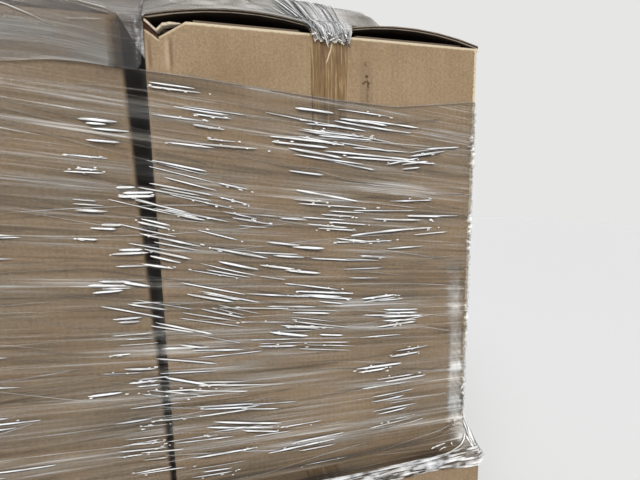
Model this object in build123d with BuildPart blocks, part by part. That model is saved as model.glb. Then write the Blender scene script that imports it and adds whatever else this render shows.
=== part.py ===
"""A wrapped pallet load: two tiers of four cartons on a wooden block pallet, held by stretch film.

The frame is in millimetres. Z points up, X runs along the short front of the pallet to the right,
and Y runs into the load. The origin is the centre of the pallet's footprint, on the floor.
"""

from build123d import *

import math
import os

os.makedirs("parts", exist_ok=True)

# Pallet: overall footprint, board and block sections
pallet_width = 1000
pallet_length = 1200
board_thick = 22
block_height = 78
wide_board = 145
narrow_board = 100
block_length = 145
deck_pattern = [wide_board, narrow_board, narrow_board, wide_board, narrow_board, narrow_board, wide_board]
corner_chamfer = 15

# Cartons: corrugated board and packing tape
board = 4
tape_width = 50
tape_thick = 0.5
tape_leg = 134
flap_seam = 1
flap_crease = 2
wall_fold = 4

# Lower tier: it fills the pallet but for a small inset, with a gap between its cartons
load_inset = 2
carton_gap = 6
lower_height = 600

# Upper tier: set back at the front and the back, and pushed over to the right
front_ledge = 40
right_ledge = 4
upper_width = 450
upper_height = 618

# The left cartons of the upper tier are racked sideways, and the outer flaps of all four bow up
rack_angle = 1.94
bow_edge = 15
bow_middle = 36
seam_rise = 8
arch_steps = 6

# The crushed top corner of the front right carton: a notch, and the board that is folded in behind it
crush_width = 50
crush_depth = 20
crush_fold = 24
crush_room = 45

# Stretch film round the tiers
film_thick = 1
film_clear = 0.3
film_corner = 2.5
film_top_drop = 72
film_top_tilt = 2.2
film_leave = 50
film_edge_rise = 4
film_band = 14
lower_film_drop = 130
lower_film_foot = 112

# Loose film over the top: it billows behind the front edge, and its right edge runs back at a slant
drape_front = 24
drape_billow = 66
drape_rest = 50
drape_reach = 75
drape_slant = 210
drape_shoulder = 44

# Levels and places worked out from the values above
stringer_z = board_thick + block_height
deck_z = stringer_z + board_thick
tier1_z = deck_z + board_thick
tier1_top = tier1_z + lower_height
tier2_z = tier1_top + tape_thick
tier2_top = tier2_z + upper_height
lower_half_x = pallet_width / 2 - load_inset
lower_half_y = pallet_length / 2 - load_inset
lower_width = lower_half_x - carton_gap / 2
lower_depth = lower_half_y - carton_gap / 2
upper_half_y = lower_half_y - front_ledge
upper_depth = upper_half_y - carton_gap / 2
upper_right_x = lower_half_x - right_ledge
right_carton_x = upper_right_x - upper_width
left_carton_x = right_carton_x - carton_gap - upper_width
rack_shift = math.tan(math.radians(rack_angle)) * upper_height


def save(part_builder, name):
    """Label a finished piece and write it."""
    part_builder.part.label = name
    export_step(part_builder.part, f"parts/{name}.step")


def upright(x, y, z):
    """A vertical plane facing the front, with its own X along X and its own Y along Z."""
    return Plane(origin=(x, y, z), x_dir=(1, 0, 0), z_dir=(0, -1, 0))


def outline(plane, *points):
    """A closed face with straight sides on a plane."""
    with BuildSketch(plane) as face:
        with BuildLine():
            Polyline(*points, close=True)
        make_face()
    return face.sketch


def timber(name, x, y, z, size_x, size_y, size_z, corners=()):
    """One sawn board or block, centred on x and y, standing on z, with the given corners cut off."""
    with BuildPart() as piece:
        with BuildSketch(Plane.XY.offset(z)):
            with Locations((x, y)):
                Rectangle(size_x, size_y)
        extrude(amount=size_z)
        upright_edges = piece.edges().filter_by(Axis.Z)
        cut = [edge for edge in upright_edges if (edge.center().X > 0, edge.center().Y > 0) in corners]
        if cut:
            chamfer(cut, length=corner_chamfer)
    save(piece, name)


# Pallet boards: three rows of blocks across the width, three along the length
side_x = (pallet_width - narrow_board) / 2
end_y = (pallet_length - block_length) / 2
row_x = {"left": -side_x, "centre": 0, "right": side_x}
row_y = {"front": -end_y, "middle": 0, "back": end_y}
row_width = {"left": narrow_board, "centre": wide_board, "right": narrow_board}

for side, x in row_x.items():
    outer_corners = [(x > 0, False), (x > 0, True)] if x else []
    timber(f"bottom_board_{side}", x, 0, 0, row_width[side], pallet_length, board_thick, outer_corners)
    for row, y in row_y.items():
        timber(f"block_{row}_{side}", x, y, board_thick, row_width[side], block_length, block_height)

for row, y in row_y.items():
    timber(f"stringer_board_{row}", 0, y, stringer_z, pallet_width, block_length, board_thick)

deck_gap = (pallet_width - sum(deck_pattern)) / (len(deck_pattern) - 1)
deck_left = -pallet_width / 2
for number, width in enumerate(deck_pattern, 1):
    timber(f"deck_board_{number}", deck_left + width / 2, 0, deck_z, width, pallet_length, board_thick)
    deck_left += width + deck_gap


def racked_outline(y, origin, width, height, shift, inset, low, high):
    """The carton's front outline, set in from its sides, from a low to a high level, leaning by shift."""
    lean = shift / height
    return outline(
        upright(origin[0], y, origin[2]),
        (inset - lean * low, low),
        (width - inset - lean * low, low),
        (width - inset - lean * high, high),
        (inset - lean * high, high),
    )


def arch(start, end, rise):
    """Points of a shallow arch: a parabola from a start to an end, higher by its rise in the middle."""
    points = []
    for step in range(arch_steps + 1):
        part = step / arch_steps
        x = start[0] + (end[0] - start[0]) * part
        z = start[1] + (end[1] - start[1]) * part + 4 * rise * part * (1 - part)
        points.append((x, z))
    return points


def flap_section(y, origin, width, height, shift, bow, side):
    """One outer top flap cut at a depth y: an arch from its hinge to the tape, then flat up to the seam."""
    hinge = side * width / 2
    crease = side * (tape_width / 2 + flap_crease)
    edge = side * flap_seam / 2
    fold = hinge - side * board
    seam_top = board + seam_rise
    rise = bow - seam_rise / 2
    over = arch((hinge, board), (crease, seam_top), rise)
    under = arch((crease, seam_rise), (fold, 0), rise)
    seam = [(edge, seam_top), (edge, seam_rise)]
    plane = upright(origin[0] + width / 2 - shift, y, origin[2] + height)
    return outline(plane, *over, *seam, *under, (fold, -board), (hinge, -board))


def folded_board(first, second, third):
    """A three-cornered piece of board through three points."""
    start, along, across = Vector(*first), Vector(*second), Vector(*third)
    plane = Plane(origin=start, x_dir=along - start, z_dir=(along - start).cross(across - start))
    corners = [plane.to_local_coords(corner) for corner in (start, along, across)]
    extrude(outline(plane, *[(corner.X, corner.Y) for corner in corners]), amount=board / 3, both=True)


def crush(origin, height):
    """Dent the top left front corner: a notch in the wall, and the torn board folded in behind it."""
    x, y, z = origin
    bottom_x = crush_width / 3
    dent = outline(upright(x, y, z + height), (-1, 1), (bottom_x, -crush_depth), (crush_width, 1))
    extrude(dent, amount=-board - crush_fold, mode=Mode.SUBTRACT)
    wall_y = y + board / 2
    low = (x + bottom_x, wall_y, z + height - crush_depth - board / 2)
    left = (x + board / 2, wall_y, z + height - board)
    right = (x + crush_width, wall_y, z + height - board / 2)
    inner = (x + crush_width / 2, y + crush_fold, z + height - crush_depth / 2)
    folded_board(left, low, inner)
    folded_board(low, right, inner)


def bow_at(part):
    """How far the flaps bow at a part of the way from the carton's front to its back."""
    return bow_edge + (bow_middle - bow_edge) * 4 * part * (1 - part)


def carton(name, origin, width, depth, height, shift=0, bowed=False, crushed=False):
    """One folded carton: walls, bottom, inner flaps, and outer flaps that bow between wall and tape."""
    x, y, z = origin
    flap = width / 2
    with BuildPart() as blank:
        extrude(racked_outline(y, origin, width, height, shift, 0, 0, height), amount=-depth)
        corners = blank.edges().filter_by(Axis.X, reverse=True).filter_by(Axis.Y, reverse=True)
        fillet(corners, radius=wall_fold)
        inside = racked_outline(y + board, origin, width, height, shift, board, board, height)
        extrude(inside, amount=-(depth - 2 * board), mode=Mode.SUBTRACT)
        inner_top = height - board
        for flap_y in (y, y + depth - flap):
            inner = racked_outline(flap_y, origin, width, height, shift, board / 2, inner_top, height)
            extrude(inner, amount=-flap)
        for side in (-1, 1):
            if bowed:
                sections = [
                    flap_section(y + part * depth, origin, width, height, shift, bow_at(part), side)
                    for part in (0, 0.5, 1)
                ]
                loft(sections)
            else:
                flap_x = x + flap + side * (flap + flap_seam / 2) / 2
                with Locations((flap_x, y + depth / 2, z + height + board / 2)):
                    Box(flap - flap_seam / 2, depth, board)
        if crushed:
            crush(origin, height)
    save(blank, name)


def tape(name, origin, width, depth, height, shift=0, rise=0):
    """Packing tape along the top seam, with a leg down the front and the back wall."""
    middle_x = origin[0] + width / 2 - shift
    side_on = Plane(origin=(middle_x, origin[1], origin[2]), x_dir=(0, 1, 0), z_dir=(1, 0, 0))
    top = height + board + rise
    foot = height - tape_leg
    strip_side = outline(
        side_on,
        (-tape_thick, foot),
        (-tape_thick, top + tape_thick),
        (depth + tape_thick, top + tape_thick),
        (depth + tape_thick, foot),
        (depth, foot),
        (depth, top),
        (0, top),
        (0, foot),
    )
    with BuildPart() as strip:
        extrude(strip_side, amount=tape_width / 2, both=True)
    save(strip, name)


def goods(name, origin, width, depth, height, shift=0, crushed=False):
    """The packed goods, as one plain block that fills a carton up to its inner flaps."""
    inset = board + film_clear
    y = origin[1] + inset
    with BuildPart() as core:
        block = racked_outline(y, origin, width, height, shift, inset, inset, height - inset)
        extrude(block, amount=-(depth - 2 * inset))
        if crushed:
            room = upright(origin[0], y, origin[2] + height)
            corner = outline(room, (0, 0), (crush_width + board, 0), (0, -crush_room))
            extrude(corner, amount=-crush_room, mode=Mode.SUBTRACT)
    save(core, name)


lower_size = (lower_width, lower_depth, lower_height - board)
lower_places = {
    "front_left": (-lower_half_x, -lower_half_y, tier1_z),
    "front_right": (carton_gap / 2, -lower_half_y, tier1_z),
    "back_left": (-lower_half_x, carton_gap / 2, tier1_z),
    "back_right": (carton_gap / 2, carton_gap / 2, tier1_z),
}
upper_size = (upper_width, upper_depth, upper_height)
upper_places = {
    "front_left": (left_carton_x, -upper_half_y, tier2_z),
    "front_right": (right_carton_x, -upper_half_y, tier2_z),
    "back_left": (left_carton_x, carton_gap / 2, tier2_z),
    "back_right": (right_carton_x, carton_gap / 2, tier2_z),
}

for place, origin in lower_places.items():
    carton(f"lower_carton_{place}", origin, *lower_size)
    tape(f"lower_tape_{place}", origin, *lower_size)
    goods(f"lower_goods_{place}", origin, *lower_size)

for place, origin in upper_places.items():
    racked = rack_shift if "left" in place else 0
    is_crushed = place == "front_right"
    carton(f"upper_carton_{place}", origin, *upper_size, racked, bowed=True, crushed=is_crushed)
    tape(f"upper_tape_{place}", origin, *upper_size, racked, seam_rise)
    goods(f"upper_goods_{place}", origin, *upper_size, racked, crushed=is_crushed)


def film_ring(level, thick):
    """The outline of a film skin at one level, given as its height, left, right and half length."""
    z, left, right, half_y = level
    out = proud + thick
    with BuildSketch(Plane.XY.offset(z)) as ring:
        with Locations(((left + right) / 2, 0)):
            RectangleRounded(right - left + 2 * out, 2 * (half_y + out), film_corner + thick)
    return ring.sketch


def film_skin(levels):
    """A tube of film through its outlines at the levels given."""
    loft([film_ring(level, film_thick) for level in levels], ruled=True)
    loft([film_ring(level, 0) for level in levels], ruled=True, mode=Mode.SUBTRACT)


# Film round the upper tier: it leaves the cartons above the ledge and turns down over the lower tier
proud = tape_thick + film_clear
leave_z = tier2_z + film_leave
edge_z = tier2_z + film_edge_rise
leave_left = left_carton_x - rack_shift * film_leave / upper_height
with BuildPart() as upper_film:
    film_skin(
        [
            (tier2_top, left_carton_x - rack_shift, upper_right_x, upper_half_y),
            (leave_z, leave_left, upper_right_x, upper_half_y),
            (edge_z, -lower_half_x, lower_half_x, lower_half_y),
            (tier1_top - film_band, -lower_half_x, lower_half_x, lower_half_y),
        ]
    )
    cut_plane = Plane(origin=(0, 0, tier2_top - film_top_drop)).rotated((0, film_top_tilt, 0))
    split(bisect_by=cut_plane, keep=Keep.BOTTOM)
save(upper_film, "upper_film")

# Film round the lower tier, down over the edge of the pallet's deck
with BuildPart() as lower_film:
    film_skin(
        [
            (tier1_top - lower_film_drop, -lower_half_x, lower_half_x, lower_half_y),
            (tier1_z, -pallet_width / 2, pallet_width / 2, pallet_length / 2),
            (lower_film_foot, -pallet_width / 2, pallet_width / 2, pallet_length / 2),
        ]
    )
save(lower_film, "lower_film")


def drape_section(y, right, right_rise, crown):
    """The loose film over the top cut at a depth y: from the left edge over its crown to its right end."""
    left = left_carton_x - rack_shift
    low = board + proud
    shape = [(0, 0), (0.03, 0.52), (0.08, 0.87), (0.18, 1), (0.5, 0.96), (0.82, 1), (0.92, 0.87), (0.97, 0.52)]
    under = []
    for part, rise in shape:
        end = low if part < 0.5 else right_rise
        under.append((left + part * (right - left), end + rise * (crown - end)))
    under.append((right, right_rise))
    over = [(x, height + film_thick) for x, height in reversed(under)]
    with BuildSketch(upright(0, y, tier2_top)) as face:
        with BuildLine():
            Spline(*under)
            Line(under[-1], over[0])
            Spline(*over)
            Line(over[-1], under[0])
        make_face()
    return face.sketch


# Film over the top: at the front it ends on the tape, and behind that it reaches the right edge
tape_right = right_carton_x + (upper_width + tape_width) / 2
shoulder_x = upper_right_x - drape_shoulder
on_tape = board + seam_rise + proud
on_fold = board + proud
drape_sections = [
    (-upper_half_y, tape_right, on_tape, drape_front),
    (-upper_half_y + drape_reach, (tape_right + shoulder_x) / 2, drape_shoulder, drape_billow),
    (-upper_half_y + 2 * drape_reach, shoulder_x, drape_shoulder, drape_billow),
    (-upper_half_y + drape_slant, upper_right_x, on_fold, drape_rest),
    (upper_half_y - drape_reach, upper_right_x, on_fold, drape_rest),
    (upper_half_y, upper_right_x, on_fold, drape_front),
]
with BuildPart() as top_film:
    loft([drape_section(*section) for section in drape_sections], ruled=True)
save(top_film, "top_film")
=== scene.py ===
import math

import bpy
import numpy as np
from mathutils import Matrix, Vector


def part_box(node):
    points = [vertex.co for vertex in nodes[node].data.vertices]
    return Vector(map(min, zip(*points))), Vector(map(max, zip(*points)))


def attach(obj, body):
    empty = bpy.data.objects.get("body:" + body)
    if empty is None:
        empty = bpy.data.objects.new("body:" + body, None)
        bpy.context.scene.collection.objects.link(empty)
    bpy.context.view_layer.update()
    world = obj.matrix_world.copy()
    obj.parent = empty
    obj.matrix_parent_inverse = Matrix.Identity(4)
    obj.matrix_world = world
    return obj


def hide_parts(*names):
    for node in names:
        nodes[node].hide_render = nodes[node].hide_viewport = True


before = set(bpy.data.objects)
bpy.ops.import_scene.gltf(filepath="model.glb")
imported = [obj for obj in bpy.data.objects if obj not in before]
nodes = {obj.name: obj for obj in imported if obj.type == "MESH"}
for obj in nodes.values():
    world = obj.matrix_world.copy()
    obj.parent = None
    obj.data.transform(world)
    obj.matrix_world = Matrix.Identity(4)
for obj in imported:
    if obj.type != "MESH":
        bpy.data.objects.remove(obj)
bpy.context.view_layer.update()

# Sizes of the load, in metres, read from the frame
carton_low, carton_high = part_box("upper_carton_front_right")
tape_low, tape_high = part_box("upper_tape_front_right")
left_low, left_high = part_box("upper_carton_front_left")
lower_low, lower_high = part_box("lower_carton_front_right")
lower_left_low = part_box("lower_carton_front_left")[0]
back_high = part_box("upper_carton_back_right")[1]
lower_back_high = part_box("lower_carton_back_right")[1]
deck_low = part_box("deck_board_1")[0]
deck_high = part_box("deck_board_7")[1]

BOARD = 0.004
TAPE = 0.0005
SEAM_RISE = 0.008
FRONT_FLAP_BOW = 0.015
MIDDLE_FLAP_BOW = 0.036
SCUFF_FROM_LEFT = 0.278
tier2_top = tape_high.z - TAPE - BOARD - SEAM_RISE
tier2_foot = carton_low.z
tier1_top = lower_high.z
carton_width = carton_high.x - carton_low.x
front = carton_low.y
back = back_high.y
tape_middle = (tape_low.x + tape_high.x) / 2
tape_half = (tape_high.x - tape_low.x) / 2
lean = (left_high.x - carton_width - left_low.x) / (tier2_top - tier2_foot)


# Materials

def srgb(red, green, blue):
    """A screen colour, 0 to 255, turned into the linear values that shaders use."""
    def linear(value):
        value /= 255
        return value / 12.92 if value <= 0.04045 else ((value + 0.055) / 1.055) ** 2.4
    return (linear(red), linear(green), linear(blue), 1)


def grey(level):
    """An even grey as a ramp colour."""
    return (level, level, level, 1)


def feed(tree, socket, value):
    """Set a socket to a value, or link it to another node's output."""
    if isinstance(value, bpy.types.NodeSocket):
        tree.links.new(value, socket)
    else:
        socket.default_value = value


def add_node(tree, kind, inputs=(), **settings):
    """A new node with its settings and its inputs."""
    node = tree.nodes.new(kind)
    for key, value in settings.items():
        setattr(node, key, value)
    for key, value in dict(inputs).items():
        feed(tree, node.inputs[key], value)
    return node


class Finish:
    """A material: its shader, its colour so far, and the steps that its patterns are made with."""

    def __init__(self, name):
        self.material = bpy.data.materials.new(name)
        self.material.use_nodes = True
        self.tree = self.material.node_tree
        self.colour = None

    def add(self, kind, inputs=(), **settings):
        """A node of this material."""
        return add_node(self.tree, kind, inputs, **settings)

    def give(self, name, value):
        """Give the shader a value or a pattern."""
        feed(self.tree, self.tree.nodes["Principled BSDF"].inputs[name], value)

    def place(self):
        """The place on the piece, in metres."""
        return self.add("ShaderNodeTexCoord").outputs["Object"]

    def split(self, vector):
        """The x, y and z of a vector."""
        return self.add("ShaderNodeSeparateXYZ", {0: vector}).outputs[:3]

    def scaled(self, place, scale):
        """Places multiplied along each axis, which draws a pattern out where the scale is small."""
        return self.add("ShaderNodeMapping", {0: place, 3: scale}).outputs[0]

    def noise(self, place, scale, detail, roughness=0.5, distortion=0.0):
        """A cloudy pattern."""
        inputs = {"Vector": place, "Scale": scale, "Detail": detail}
        inputs |= {"Roughness": roughness, "Distortion": distortion}
        return self.add("ShaderNodeTexNoise", inputs).outputs[0]

    def maths(self, operation, first, second=0.0, third=0.0, **settings):
        """One sum or comparison on values."""
        inputs = {0: first, 1: second, 2: third}
        return self.add("ShaderNodeMath", inputs, operation=operation, **settings).outputs[0]

    def line(self, value, slope, start):
        """A value times a slope, plus a start."""
        return self.maths("MULTIPLY_ADD", value, slope, start)

    def all_of(self, first, *masks):
        """1 where all the masks are 1."""
        for mask in masks:
            first = self.maths("MULTIPLY", first, mask)
        return first

    def any_of(self, first, *masks):
        """1 where one of the masks is 1."""
        for mask in masks:
            first = self.maths("MAXIMUM", first, mask)
        return first

    def span(self, value, low, high, at_low=0.0, at_high=1.0):
        """A value between low and high carried over to another span, and held at its ends."""
        inputs = {0: value, 1: low, 2: high, 3: at_low, 4: at_high}
        return self.add("ShaderNodeMapRange", inputs).outputs[0]

    def step(self, value, low, high):
        """0 where a value is under low, 1 where it is over high, with a soft step between them."""
        inputs = {0: value, 1: low, 2: high}
        return self.add("ShaderNodeMapRange", inputs, interpolation_type="SMOOTHSTEP").outputs[0]

    def band(self, value, low, high, soft):
        """1 where a value lies between low and high, fading to 0 over a soft width outside them."""
        return self.all_of(self.step(value, low - soft, low), self.step(value, high + soft, high))

    def either(self, switch, low, high):
        """One value where a switch is 0, and another where it is 1."""
        return self.add("ShaderNodeMix", {0: switch, 2: low, 3: high}, data_type="FLOAT").outputs[0]

    def ramp(self, value, stops):
        """A colour ramp: stops are (position, colour)."""
        node = self.add("ShaderNodeValToRGB", {0: value})
        elements = node.color_ramp.elements
        while len(elements) < len(stops):
            elements.new(0.5)
        for element, (position, colour) in zip(elements, stops):
            element.position = position
            element.color = colour
        return node.outputs[0]

    def greys(self, value, *stops):
        """A ramp of greys: stops are (position, level)."""
        return self.ramp(value, [(position, grey(level)) for position, level in stops])

    def mixed(self, factor, first, second, blend="MIX"):
        """Two colours mixed by a factor."""
        inputs = {0: factor, 6: first, 7: second}
        return self.add("ShaderNodeMix", inputs, data_type="RGBA", blend_type=blend).outputs[2]

    def paint(self, colour, *masks, share=1.0):
        """Paint a colour, or a share of it, over the colour so far where all the masks are 1."""
        self.colour = self.mixed(self.all_of(*masks, share), self.colour, colour)

    def overlay(self, share, pattern, *stops):
        """Lay a pattern in greys over the colour so far."""
        self.colour = self.mixed(share, self.colour, self.greys(pattern, *stops), "OVERLAY")

    def done(self, roughness, height, strength, distance, gloss=0.5):
        """The finished material, with the small relief that a pattern gives it."""
        relief = {"Strength": strength, "Distance": distance, "Height": height}
        self.give("Base Color", self.colour)
        self.give("Roughness", roughness)
        self.give("Specular IOR Level", gloss)
        self.give("Normal", self.add("ShaderNodeBump", relief).outputs[0])
        return self.material


class KraftBoard(Finish):
    """Kraft corrugated board: fibres, faint flute lines and blotches, with painted shade in the gaps,
    under the flaps and in the flutes of the cut edges, and a painted highlight along the walls' top
    edge.
    """

    def __init__(self, name, shade):
        super().__init__(name)
        place = self.place()
        self.x, self.y, self.z = self.split(place)
        normal_x, normal_y, normal_z = self.split(self.add("ShaderNodeNewGeometry").outputs["Normal"])
        self.to_side = self.step(self.maths("ABSOLUTE", normal_x), 0.6, 0.8)
        self.to_end = self.step(self.maths("ABSOLUTE", normal_y), 0.6, 0.8)
        self.upwards = self.step(normal_z, 0.3, 0.6)
        self.downwards = self.step(normal_z, -0.2, -0.5)
        across = self.either(self.to_side, self.x, self.y)
        flat_place = self.add("ShaderNodeCombineXYZ", {0: across, 1: self.z}).outputs[0]
        waves = {"Scale": 42, "Distortion": 1.2, "Detail": 2, "Detail Scale": 3}
        waves["Vector"] = self.scaled(flat_place, (1, 0.02, 1))
        flutes = self.add("ShaderNodeTexWave", waves, wave_type="BANDS", bands_direction="X")
        self.flutes = flutes.outputs["Fac"]
        self.fibres = self.noise(place, 700, 4, 0.75)
        self.specks = self.noise(place, 260, 3)
        self.blotches = self.noise(place, 9, 5, 0.6)
        self.streaks = self.noise(self.scaled(place, (60, 60, 4)), 1, 3)
        tones = [(0.3, (150, 125, 96)), (0.55, (162, 138, 108)), (0.75, (168, 145, 116))]
        shaded = [(at, srgb(*[part * shade for part in tone])) for at, tone in tones]
        self.colour = self.ramp(self.blotches, shaded)
        self.overlay(0.36, self.fibres, (0.3, 0.1), (0.7, 0.7))
        self.overlay(0.2, self.specks, (0.35, 0.2), (0.65, 0.62))
        self.overlay(0.05, self.flutes, (0.2, 0.3), (0.8, 0.62))
        self.overlay(0.12, self.streaks, (0.35, 0.3), (0.65, 0.6))
        self.paint_gap_shade()
        self.draw_flaps()

    def paint_gap_shade(self):
        """Painted shade on the board in the gaps between the cartons, which no light reaches."""
        behind = self.step(self.y, front + 0.0005, front + 0.02)
        beside = self.band(self.x, -0.004, carton_low.x + 0.001, 0.002)
        gap_side = self.all_of(self.to_side, beside, behind)
        gap_end = self.all_of(self.to_end, self.band(self.y, -0.004, 0.004, 0.002))
        self.paint(srgb(38, 29, 21), self.any_of(gap_side, gap_end))

    def draw_flaps(self):
        """The bowed flaps: painted shade under them and on the board below them, cut edges with two pale
        liners and painted shade in the flutes between them, and a painted highlight along the front
        wall's top edge.
        """
        above = self.step(self.z, tier2_top + 0.0002, tier2_top + 0.0012)
        # Painted shade on the flaps' undersides.
        self.paint(srgb(34, 25, 18), self.downwards, above)
        under = self.band(self.z, tier2_top - 0.03, tier2_top + 0.0004, 0.0004)
        # Painted shade on the board below the flaps.
        self.paint(srgb(44, 33, 24), self.upwards, under)
        on_right = self.maths("GREATER_THAN", self.x, carton_low.x - 0.004)
        run = self.maths("SUBTRACT", self.x, self.either(on_right, left_low.x, carton_low.x))
        from_edge = self.maths("MINIMUM", run, self.maths("SUBTRACT", carton_width, run))
        part = self.span(from_edge, 0, carton_width / 2 - tape_half - 0.002)
        curve = self.maths("MULTIPLY", part, self.maths("SUBTRACT", 1.0, part))
        underside = self.line(curve, 4 * (FRONT_FLAP_BOW - SEAM_RISE / 2), tier2_top)
        underside = self.line(part, SEAM_RISE, underside)
        wobble = self.line(self.specks, 0.0012, -0.0006)
        through = self.maths("ADD", self.maths("SUBTRACT", self.z, underside), wobble)
        # Pale liners, with painted shade in the hollow flutes between them and under the edge.
        liners = [
            (0.0, srgb(116, 102, 86)), (0.16, srgb(156, 142, 122)), (0.26, srgb(30, 24, 20)),
            (0.6, srgb(38, 31, 26)), (0.7, srgb(156, 140, 122)), (0.84, srgb(140, 124, 106)),
            (1.0, srgb(64, 53, 43)),
        ]
        cut = self.ramp(self.span(through, -0.0005, BOARD + 0.0005), liners)
        self.paint(cut, self.to_end, above)
        # A painted highlight along the front wall's top edge, where the fold catches the light.
        wall_top = self.band(self.z, tier2_top - 0.001, tier2_top + 0.0005, 0.0005)
        at_wall = self.band(self.y, front - 0.001, front + BOARD, 0.0005)
        self.paint(srgb(206, 190, 160), self.upwards, wall_top, at_wall)

    def finished(self):
        """The board's material, with the relief of its flutes and fibres."""
        relief = self.line(self.flutes, 0.35, self.fibres)
        return self.done(0.78, relief, 0.25, 0.0006, gloss=0.25)


class WornBoard(KraftBoard):
    """The board of the carton in front, with worn pale edges under a painted highlight, a crushed corner
    with a painted shadow, creases of painted light and shade, and a dark scuff.
    """

    def __init__(self, name, shade):
        super().__init__(name, shade)
        face = self.band(self.y, front - 0.001, front + 0.001, 0.001)
        self.on_front = self.all_of(self.to_end, face)
        self.along = self.maths("SUBTRACT", self.x, carton_low.x)
        self.depth = self.maths("SUBTRACT", tier2_top, self.z)
        self.low_wall = self.step(self.depth, -0.001, 0.0005)
        self.ragged = self.line(self.specks, 0.004, -0.002)
        self.ragged_depth = self.maths("ADD", self.depth, self.ragged)
        self.wear_and_light_edges()
        self.crush_corner_with_shadow()
        self.crease_corner()
        self.scuff_face()

    def wear_and_light_edges(self):
        """Pale edges along the top of the face and down its right side: worn board, and a painted
        highlight where its folds catch the light.
        """
        top_edge = self.step(self.ragged_depth, 0.0040, 0.0018)
        ragged_x = self.maths("ADD", self.x, self.ragged)
        ragged_y = self.maths("ADD", self.y, self.ragged)
        at_right = self.step(ragged_x, carton_high.x - 0.0064, carton_high.x - 0.0040)
        right_edge = self.all_of(at_right, self.step(ragged_y, front + 0.007, front + 0.004))
        worn_and_lit = self.all_of(self.any_of(top_edge, right_edge), self.any_of(self.on_front, right_edge))
        # Painted highlight on worn pale edges.
        self.paint(srgb(222, 207, 178), worn_and_lit, self.low_wall, self.line(self.specks, 0.5, 0.6))

    def crush_corner_with_shadow(self):
        """Painted shadow on the torn board in the crushed corner, above a slanting fold, with a pale rim
        under it.
        """
        wall = self.all_of(self.on_front, self.low_wall)
        at_left = self.all_of(wall, self.step(self.along, 0.0185, 0.0165))
        at_right = self.all_of(wall, self.band(self.along, 0.017, 0.05, 0.002))
        left_slant = self.line(self.along, -0.66, self.ragged_depth)
        right_slant = self.line(self.along, 0.617, self.ragged_depth)
        left_rim = self.all_of(at_left, self.step(left_slant, 0.0140, 0.0122))
        right_rim = self.all_of(at_right, self.step(right_slant, 0.0334, 0.0318))
        self.paint(srgb(208, 188, 158), self.any_of(left_rim, right_rim), share=0.7)
        # Painted shadow in the crushed corner.
        self.paint(srgb(58, 30, 14), at_left, self.step(left_slant, 0.0114, 0.0102))

    def crease_corner(self):
        """Creases that run down from the crushed corner: painted highlights on their ridges and painted
        shade in their hollows.
        """
        bent = self.maths("ADD", self.along, self.line(self.streaks, 0.006, -0.003))
        first_pale, second_pale = (-0.004, 0.0024, 0.003), (0.0240, 0.0262, 0.0026)
        first_dark, second_dark = (0.0058, 0.0066, 0.0028), (0.0300, 0.0308, 0.003)
        pale = self.any_of(self.band(bent, *first_pale), self.band(bent, *second_pale))
        dark = self.any_of(self.band(bent, *first_dark), self.band(bent, *second_dark))
        patchy = self.step(self.blotches, 0.3, 0.6)
        run_down = self.all_of(self.on_front, patchy, self.band(self.depth, 0.030, 0.046, 0.016))
        # Painted highlight on the creases' ridges.
        self.paint(srgb(206, 184, 154), run_down, pale, share=0.4)
        # Painted shade in the creases' hollows.
        self.paint(srgb(98, 76, 54), run_down, dark, share=0.6)

    def scuff_face(self):
        """A dark scuff beside the tape: torn spots, and faint scrapes above and below them."""
        torn = self.line(self.specks, 0.009, -0.0045)
        beside = self.maths("ADD", self.maths("SUBTRACT", self.along, SCUFF_FROM_LEFT), torn)
        slanted = self.line(beside, 0.55, self.maths("ADD", self.depth, torn))

        def patch(across, down, height=self.depth):
            return self.all_of(self.band(beside, *across), self.band(height, *down))

        spot = patch((-0.0022, 0.0004, 0.001), (0.0466, 0.0498, 0.001))
        stroke = patch((-0.0060, 0.0010, 0.0014), (0.0530, 0.0548, 0.0009), slanted)
        mark = patch((0.0002, 0.0030, 0.001), (0.0556, 0.0620, 0.0016))
        tail = patch((-0.0002, 0.0012, 0.0012), (0.064, 0.080, 0.004))
        flick = patch((-0.0040, -0.0018, 0.001), (0.0306, 0.0344, 0.0016))
        smudge = patch((-0.007, 0.004, 0.006), (0.036, 0.078, 0.014))
        faint = self.maths("MULTIPLY", self.any_of(tail, flick), 0.42)
        marks = self.any_of(spot, stroke, mark, faint)
        self.paint(srgb(118, 98, 76), self.on_front, smudge, share=0.3)
        self.paint(srgb(58, 41, 30), self.on_front, marks, share=0.85)


def tape_material():
    """Brown packing tape: glossy, with long fine wrinkles drawn as painted shade and painted highlights,
    and a slanting crease with a painted highlight.
    """
    tape = Finish("brown_tape")
    place = tape.place()
    x, y, z = tape.split(place)
    wrinkles = tape.noise(tape.scaled(place, (330, 14, 14)), 1, 3, 0.65, 0.5)
    mottled = tape.noise(place, 60, 4)
    tape.colour = tape.ramp(mottled, [(0.3, srgb(114, 87, 52)), (0.7, srgb(131, 102, 64))])
    # Painted shade in the wrinkles.
    tape.paint(srgb(86, 60, 30), tape.greys(wrinkles, (0.36, 1), (0.48, 0)), share=0.8)
    # Painted highlight on the wrinkles.
    tape.paint(srgb(184, 158, 114), tape.greys(wrinkles, (0.54, 0), (0.62, 1)), share=0.62)
    high, slope = tier2_top - 0.013, 0.28
    from_crease = tape.maths("SUBTRACT", x, carton_low.x + 0.2275 - slope * high)
    from_crease = tape.line(z, -slope, from_crease)
    from_crease = tape.maths("ADD", from_crease, tape.line(mottled, 0.005, -0.0025))
    crease = tape.band(from_crease, -0.0004, 0.0004, 0.0008)
    # A painted highlight along the slanting crease.
    tape.paint(srgb(232, 214, 180), crease, tape.band(z, high - 0.018, high, 0.006), share=0.75)
    return tape.done(0.32, wrinkles, 0.5, 0.0006)


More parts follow.
